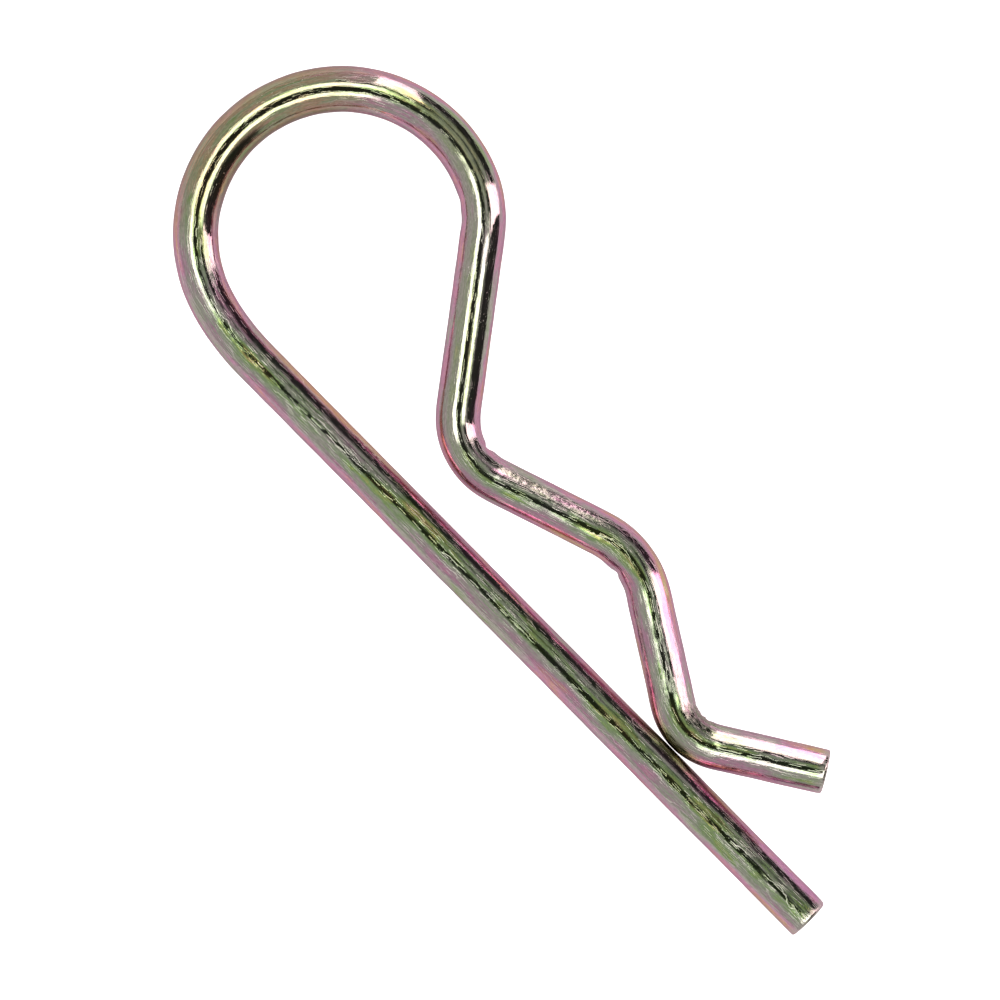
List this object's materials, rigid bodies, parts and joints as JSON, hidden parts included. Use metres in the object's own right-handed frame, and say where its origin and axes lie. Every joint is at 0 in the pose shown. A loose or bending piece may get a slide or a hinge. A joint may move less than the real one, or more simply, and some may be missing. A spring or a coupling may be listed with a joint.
{
  "type": "hitch r clip pin",
  "caption": "Hitch pin clip of bent spring wire: a straight leg goes through a pin's cross hole and a crook snaps over the pin.",
  "frame": {"origin": "where the hitch pin's axis crosses the axis of the straight leg, at the height of the wire's axis", "axes": "+X along the straight leg to its tip, +Y from the leg to the crook, +Z square to the flat clip, which lies on its side"},
  "size_m": [0.087, 0.0301, 0.004],
  "materials": {
    "plated_wire": "yellow zinc chromate, bright and iridescent, with drawing lines along the wire"
  },
  "bodies": {
    "root": {"clip_wire": "plated_wire"}
  },
  "joints": []
}
